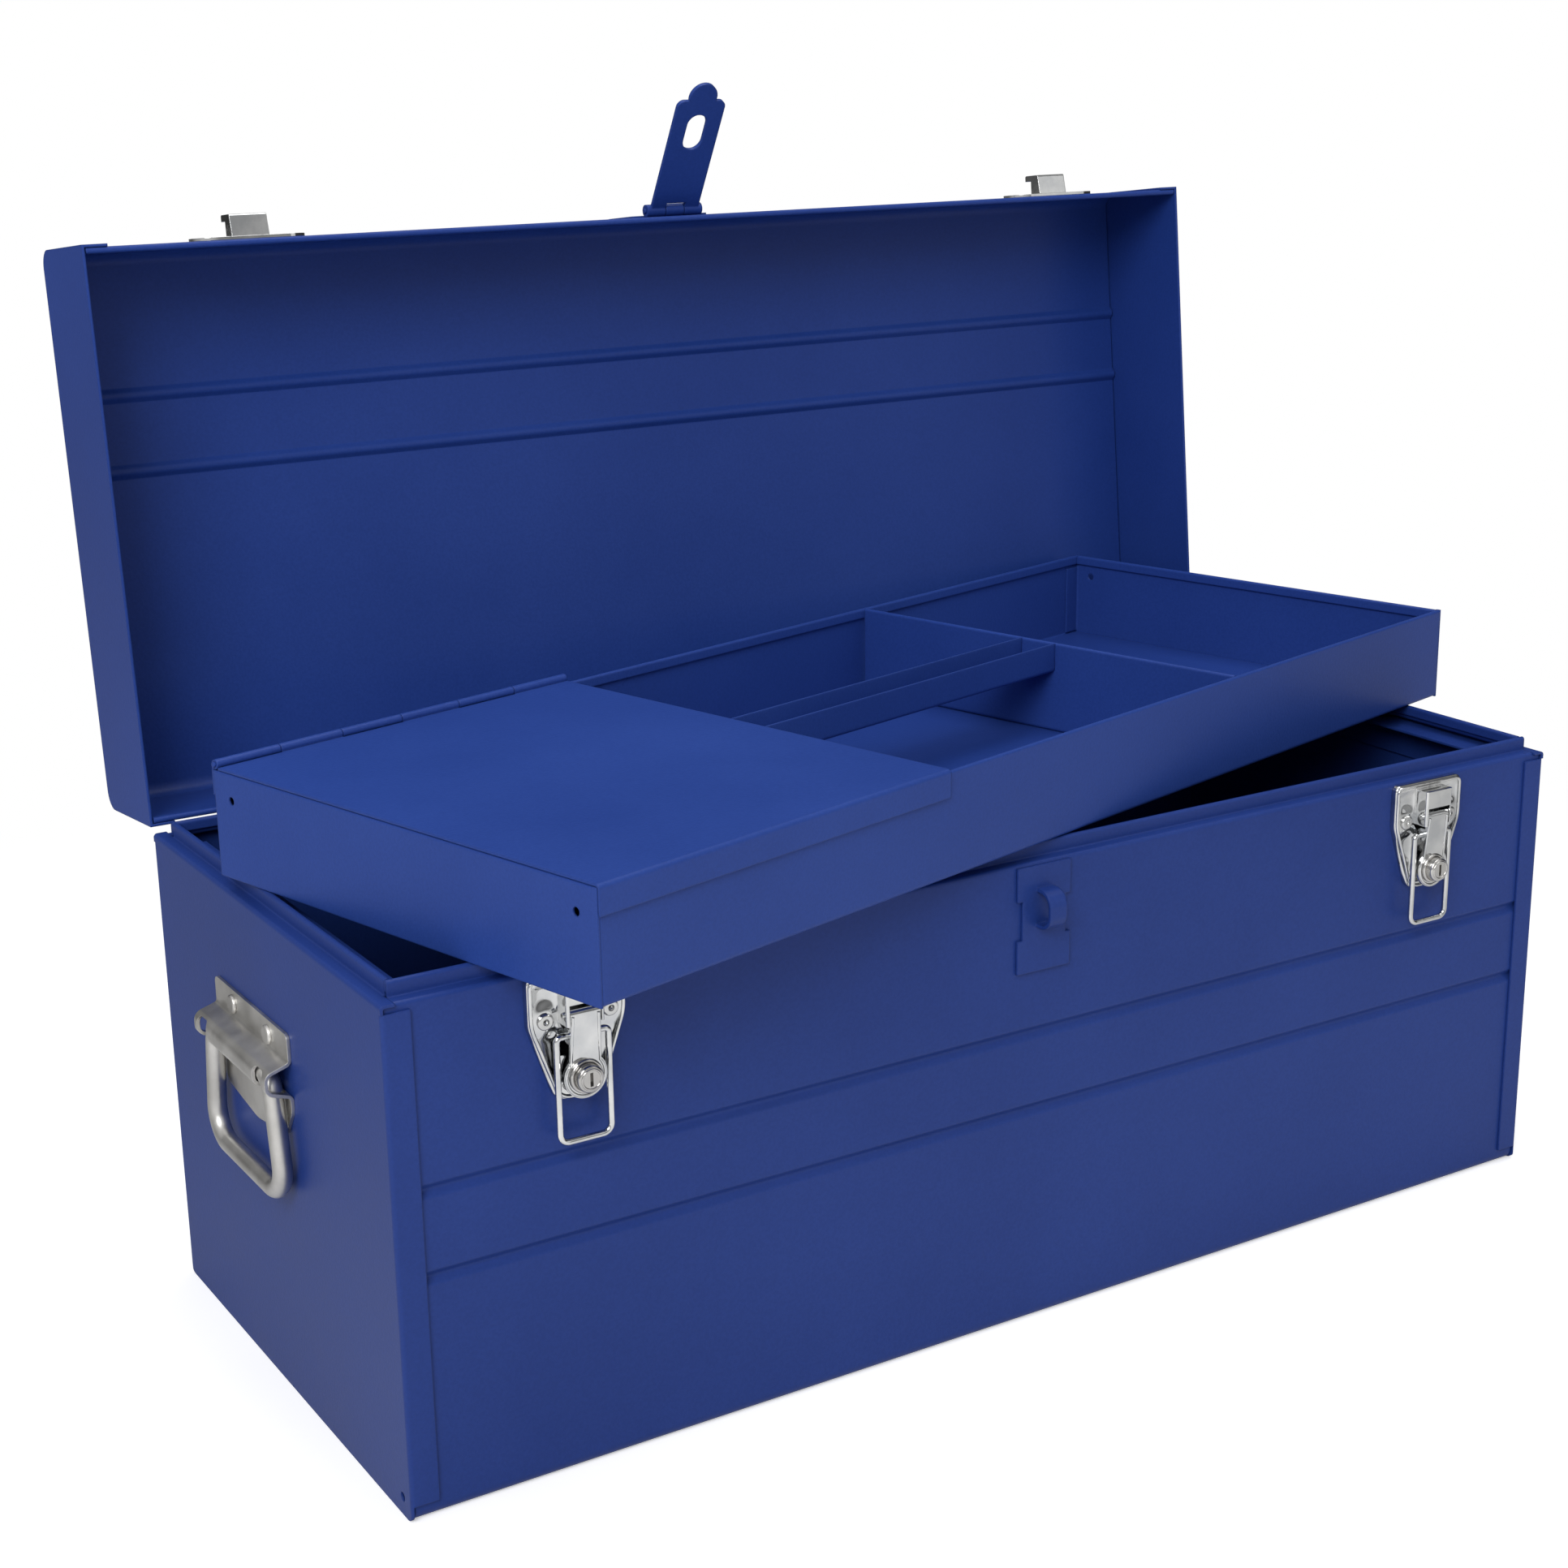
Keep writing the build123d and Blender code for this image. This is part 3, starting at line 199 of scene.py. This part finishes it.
def enamel(name, deep, pale, roughness, grain=0.35):
    """Satin powder coat: an uneven colour, orange peel and a fine speckle."""
    material, tree, output = new_material(name)
    coords = tree.nodes.new("ShaderNodeTexCoord")
    shader = add(tree, "ShaderNodeBsdfPrincipled", IOR=PAINT_IOR)
    shader.inputs["Coat Weight"].default_value = PAINT_COAT
    shader.inputs["Coat Roughness"].default_value = PAINT_COAT_ROUGHNESS
    cloud = noise(tree, coords, *PAINT_CLOUD)
    peel = noise(tree, coords, *PEEL)
    fine = noise(tree, coords, *FINE)
    speckle = add(tree, "ShaderNodeMix", data_type="RGBA", blend_type="MULTIPLY")
    speckle.inputs["Factor"].default_value = 1.0
    tree.links.new(ramp(tree, cloud, deep, pale), speckle.inputs["A"])
    tree.links.new(ramp(tree, peel, SPECKLE, (1.0, 1.0, 1.0)), speckle.inputs["B"])
    tree.links.new(speckle.outputs["Result"], shader.inputs["Base Color"])
    gloss = spread(tree, cloud, roughness - GLOSSIER, roughness + DULLER)
    tree.links.new(gloss, shader.inputs["Roughness"])
    layers = [(peel, PEEL_STRENGTH, PEEL_DEPTH), (fine, grain, FINE_DEPTH)]
    tree.links.new(bumps(tree, layers, PAINT_EDGE), shader.inputs["Normal"])
    tree.links.new(shader.outputs["BSDF"], output.inputs["Surface"])
    return material


def metal(name, dark, light, roughness, wave):
    """Plated or bare steel with a faintly uneven surface."""
    material, tree, output = new_material(name)
    coords = tree.nodes.new("ShaderNodeTexCoord")
    shader = add(tree, "ShaderNodeBsdfPrincipled", Metallic=1.0)
    cloud = noise(tree, coords, *METAL_CLOUD)
    tree.links.new(ramp(tree, cloud, dark, light), shader.inputs["Base Color"])
    tree.links.new(spread(tree, cloud, *roughness), shader.inputs["Roughness"])
    layers = [(noise(tree, coords, *WAVE), wave, WAVE_DEPTH),
              (noise(tree, coords, *GRAIN), wave * GRAIN_SHARE, GRAIN_DEPTH)]
    tree.links.new(bumps(tree, layers, METAL_EDGE), shader.inputs["Normal"])
    tree.links.new(shader.outputs["BSDF"], output.inputs["Surface"])
    return material


BODY = enamel("body_enamel", (0.013, 0.036, 0.185), (0.017, 0.044, 0.215), 0.40)
LID = enamel("lid_enamel", (0.014, 0.042, 0.220), (0.019, 0.051, 0.250), 0.42)
TRAY = enamel("tray_enamel", (0.018, 0.048, 0.235), (0.022, 0.057, 0.268), 0.38, 0.25)
CHROME = metal("latch_chrome", (0.50, 0.51, 0.52), (0.70, 0.70, 0.69), (0.05, 0.12), 0.26)
RIVET = metal("rivet_nickel", (0.46, 0.46, 0.46), (0.64, 0.64, 0.63), (0.10, 0.20), 0.20)
LOCK = metal("lock_nickel", (0.42, 0.41, 0.40), (0.58, 0.57, 0.55), (0.10, 0.20), 0.25)
HANDLE = metal("handle_steel", (0.50, 0.49, 0.47), (0.64, 0.63, 0.61), (0.34, 0.46), 0.30)

FINISHES = {"body_enamel": BODY, "lid_enamel": LID, "tray_enamel": TRAY, "latch_chrome": CHROME,
            "rivet_nickel": RIVET, "lock_nickel": LOCK, "handle_steel": HANDLE}
for part in frame["record"]["subparts"]:
    for slot in NODES[part["node"]].material_slots:
        slot.material = FINISHES[part["material_slot"]]


# ---- rolled edges and rings on the latches ------------------------------------------------------
def rounded(corners, reach, steps=6):
    """A closed outline whose corners are turned into curves that start at a distance from them."""
    points = []
    for index, corner in enumerate(corners):
        corner = Vector(corner)
        before, after = Vector(corners[index - 1]), Vector(corners[(index + 1) % len(corners)])
        start = corner + (before - corner).normalized() * reach[index]
        end = corner + (after - corner).normalized() * reach[index]
        for step in range(steps + 1):
            t = step / steps
            points.append(start * (1 - t) ** 2 + corner * 2 * t * (1 - t) + end * t * t)
    return points


def arc(centre, radius, start, end, steps=40):
    """Points on an upright arc that faces the front; angles are in degrees from +X."""
    turns = [radians(start + (end - start) * step / steps) for step in range(steps + 1)]
    return [Vector(centre) + Vector((radius * cos(turn), 0, radius * sin(turn))) for turn in turns]


def dress(mesh, name, body, slot):
    """A piece of the scene with a smooth mesh and one material, which rides on a body."""
    mesh.polygons.foreach_set("use_smooth", [True] * len(mesh.polygons))
    mesh.materials.clear()
    mesh.materials.append(FINISHES[slot])
    piece = bpy.data.objects.new(name, mesh)
    bpy.context.scene.collection.objects.link(piece)
    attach(piece, body)
    return piece


def bead(name, points, radius, body, slot, closed=True):
    """A round bead along a line."""
    curve = bpy.data.curves.new(name, "CURVE")
    curve.dimensions = "3D"
    curve.bevel_depth = radius
    curve.bevel_resolution = BEAD_RESOLUTION
    curve.use_fill_caps = True
    line = curve.splines.new("POLY")
    line.points.add(len(points) - 1)
    for point, place in zip(line.points, points):
        point.co = (*place, 1)
    line.use_cyclic_u = closed
    mesh = bpy.data.meshes.new_from_object(bpy.data.objects.new(name + "_line", curve))
    dress(mesh, name, body, slot)


def smooth(value, start, end):
    """0 before start, 1 after end and a smooth step between them."""
    t = min(max((value - start) / (end - start), 0), 1)
    return t * t * (3 - 2 * t)


def hollow(place, middle, low, high, rivets):
    """How deep the pressed hollow is at a place on a latch plate, from 0 to 1."""
    wing = (abs(place.x - middle) - WING_INNER) / (WING_OUTER - WING_INNER)
    if not 0 < wing < 1:
        return 0
    rivet = min((Vector((place.x, place.z)) - spot).length for spot in rivets)
    ends = (smooth(high.z - place.z, WING_EDGE, WING_TOP_FADE)
            * smooth(place.z - low.z, WING_EDGE, WING_FOOT_FADE))
    return (4 * wing * (1 - wing)) ** WING_SWELL * ends * smooth(rivet, BOSS_INNER, BOSS_OUTER)


def pressed_plate(side):
    """The latch plate with a hollow pressed into each wing, from a copy of its CAD mesh."""
    node = NODES["latch_plate_" + side]
    low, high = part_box("latch_plate_" + side)
    rivet_low, rivet_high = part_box("latch_rivets_" + side)
    middle = (low.x + high.x) / 2
    reach = (rivet_high.x - rivet_low.x) / 2 - (rivet_high.z - rivet_low.z) / 2
    rivets = [Vector((middle + turn * reach, (rivet_low.z + rivet_high.z) / 2))
              for turn in (-1, 1)]
    span = WING_OUTER - WING_INNER
    cuts = [((middle + turn * (WING_INNER + span * step / WING_CUTS), 0, 0), (1, 0, 0))
            for turn in (-1, 1) for step in range(WING_CUTS + 1)]
    cuts += [((0, 0, low.z + (high.z - low.z) * step / WING_ROWS), (0, 0, 1))
             for step in range(1, WING_ROWS)]
    form = bmesh.new()
    form.from_mesh(node.data)
    for place, normal in cuts:
        everything = form.verts[:] + form.edges[:] + form.faces[:]
        bmesh.ops.bisect_plane(form, geom=everything, dist=CUT_TOLERANCE,
                               plane_co=Vector(place), plane_no=Vector(normal))
    for vert in form.verts:
        if vert.co.y < PLATE_FACE + WING_SKIN:
            vert.co.y += WING_DEPTH * hollow(vert.co, middle, low, high, rivets)
    mesh = bpy.data.meshes.new("pressed_plate_" + side)
    form.to_mesh(mesh)
    form.free()
    piece = dress(mesh, "pressed_plate_" + side, "base", "latch_chrome")
    mesh.set_sharp_from_angle(angle=radians(SHARP_ANGLE))
    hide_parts("latch_plate_" + side)


def plate_rim(side):
    """The rolled edge round a latch plate."""
    low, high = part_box("latch_plate_" + side)
    middle = (low.x + high.x) / 2
    half = (high.x - low.x) / 2 - RIM_INSET
    top, knee, foot = high.z - RIM_INSET, high.z - PLATE_KNEE, low.z + RIM_INSET
    outline = ((-half, top, RIM_TOP_CURVE), (half, top, RIM_TOP_CURVE),
               (half, knee, RIM_KNEE_CURVE), (PLATE_FOOT, foot, RIM_FOOT_CURVE),
               (-PLATE_FOOT, foot, RIM_FOOT_CURVE), (-half, knee, RIM_KNEE_CURVE))
    corners = [(middle + x, PLATE_FACE, z) for x, z, _ in outline]
    points = rounded(corners, [curve for _, _, curve in outline])
    bead("latch_rim_" + side, points, RIM_BEAD, "base", "latch_chrome")


def lever_rim(side):
    """A lever's turned-up edge, down one side and up the other, and the rings on its lock."""
    lever, lock = "latch_lever_" + side, "latch_lock_" + side
    low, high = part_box(lever)
    lock_low, lock_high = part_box(lock)
    centre = (lock_low + lock_high) / 2
    radius = (high.x - low.x) / 2 - LEVER_INSET
    face = lock_low.y + LOCK_RISE
    neck = LEVER_NECK - LEVER_INSET
    top = Vector((0, low.y, high.z - LEVER_TOP))
    left, right = Vector((centre.x - neck, 0, 0)), Vector((centre.x + neck, 0, 0))
    ring = arc((centre.x, face, centre.z), radius, 180 - LEVER_SPREAD, 360 + LEVER_SPREAD)
    bead("lever_rim_" + side, [left + top] + ring + [right + top], LEVER_BEAD, lever,
         "latch_chrome", closed=False)
    collar = arc((centre.x, face - LEVER_BEAD, centre.z), COLLAR_RADIUS, 0, RING_END)
    bead("lock_collar_" + side, collar, COLLAR_BEAD, lever, "lock_nickel")
    cap = arc((centre.x, lock_low.y + CAP_BEAD / 3, centre.z), CAP_RADIUS, 0, RING_END)
    bead("lock_cap_" + side, cap, CAP_BEAD, lock, "lock_nickel")


for side in SIDES:
    pressed_plate(side)
    plate_rim(side)
    lever_rim(side)


# ---- floor, light and camera --------------------------------------------------------------------
def ray_kinds(tree):
    """1 for rays that show the floor or sky directly, and 1 for rays that show it in a gloss."""
    path = tree.nodes.new("ShaderNodeLightPath").outputs
    direct = link_math(tree, "MAXIMUM", path["Is Camera Ray"], path["Is Transmission Ray"])
    return direct, path["Is Glossy Ray"]


def make_floor():
    """A white sweep: soft shadow near the box, plain white away from it."""
    mesh = bpy.data.meshes.new("floor")
    corners = [(-FLOOR, -FLOOR, 0), (FLOOR, -FLOOR, 0), (FLOOR, FLOOR, 0), (-FLOOR, FLOOR, 0)]
    mesh.from_pydata(corners, [], [(0, 1, 2, 3)])
    floor = bpy.data.objects.new("floor", mesh)
    bpy.context.scene.collection.objects.link(floor)
    material, tree, output = new_material("floor")
    place = tree.nodes.new("ShaderNodeTexCoord").outputs["Object"]
    axes = tree.nodes.new("ShaderNodeSeparateXYZ")
    tree.links.new(place, axes.inputs[0])
    away = add(tree, "ShaderNodeVectorMath", operation="LENGTH")
    tree.links.new(place, away.inputs[0])
    direct, glossy = ray_kinds(tree)
    far = stretch(tree, away.outputs["Value"], WHITE_FROM, WHITE_TO, 0.0, 1.0)
    plain = link_math(tree, "MULTIPLY", direct, far)
    lift = link_math(tree, "MULTIPLY", direct, FLOOR_LIFT)
    # painted reflection: in glosses the floor is lighter to the left and darker to the right and
    # behind the box, as if lit from the upper left
    sideways = stretch(tree, axes.outputs["X"], PAINTED_REFLECTION_SIDE_FROM, PAINTED_REFLECTION_SIDE_TO,
                       PAINTED_REFLECTION_LEFT, PAINTED_REFLECTION_RIGHT)
    backwards = stretch(tree, axes.outputs["Y"], PAINTED_REFLECTION_BACK_FROM, PAINTED_REFLECTION_BACK_TO, 1.0, PAINTED_REFLECTION_BACK)
    tone = link_math(tree, "SUBTRACT", link_math(tree, "MULTIPLY", sideways, backwards), 1.0)
    tone = link_math(tree, "ADD", 1.0, link_math(tree, "MULTIPLY", glossy, tone))
    near = tree.nodes.new("ShaderNodeAddShader")
    diffuse = tree.nodes.new("ShaderNodeBsdfDiffuse")
    tree.links.new(link_math(tree, "MULTIPLY", tone, FLOOR_GREY), diffuse.inputs["Color"])
    glow = tree.nodes.new("ShaderNodeEmission")
    tree.links.new(lift, glow.inputs["Strength"])
    tree.links.new(diffuse.outputs[0], near.inputs[0])
    tree.links.new(glow.outputs[0], near.inputs[1])
    white = add(tree, "ShaderNodeEmission", Strength=1.0)
    mix = tree.nodes.new("ShaderNodeMixShader")
    for socket, source in zip(mix.inputs, (plain, near.outputs[0], white.outputs[0])):
        tree.links.new(source, socket)
    tree.links.new(mix.outputs[0], output.inputs["Surface"])
    floor.data.materials.append(material)


def make_world():
    """White to the camera; a dim studio with a bright upper left in glosses."""
    world = bpy.data.worlds.new("studio")
    bpy.context.scene.world = world
    world.use_nodes = True
    tree = world.node_tree
    background = next(n for n in tree.nodes if n.type == "BACKGROUND")
    background.inputs["Color"].default_value = (1, 1, 1, 1)
    direct, glossy = ray_kinds(tree)
    toward = add(tree, "ShaderNodeVectorMath", operation="DOT_PRODUCT")
    toward.inputs[1].default_value = BRIGHT_SIDE
    coords = tree.nodes.new("ShaderNodeTexCoord")
    tree.links.new(coords.outputs["Generated"], toward.inputs[0])
    studio = stretch(tree, toward.outputs["Value"], STUDIO_FROM, STUDIO_TO,
                     STUDIO_DARK, STUDIO_BRIGHT)
    plain = link_math(tree, "MULTIPLY", link_math(tree, "SUBTRACT", 1.0, direct), AMBIENT)
    inside = link_math(tree, "MULTIPLY", glossy, link_math(tree, "SUBTRACT", studio, AMBIENT))
    total = link_math(tree, "ADD", link_math(tree, "ADD", direct, plain), inside)
    tree.links.new(total, background.inputs["Strength"])


def softbox(name, place, target, size, power):
    light = bpy.data.lights.new(name, "AREA")
    light.shape = "RECTANGLE"
    light.size, light.size_y = size
    light.energy = power
    lamp = bpy.data.objects.new(name, light)
    lamp.location = place
    toward = Vector(target) - Vector(place)
    lamp.rotation_euler = toward.to_track_quat("-Z", "Y").to_euler()
    bpy.context.scene.collection.objects.link(lamp)


def make_camera():
    data = bpy.data.cameras.new("camera")
    data.sensor_fit = "HORIZONTAL"
    data.sensor_width, data.lens, data.clip_end = SENSOR, LENS, CLIP_END
    camera = bpy.data.objects.new("camera", data)
    camera.matrix_world = Matrix(CAMERA)
    bpy.context.scene.collection.objects.link(camera)
    bpy.context.scene.camera = camera


make_floor()
make_world()
for lamp in LAMPS:
    softbox(*lamp)
make_camera()
bpy.context.scene.view_settings.view_transform = "Standard"
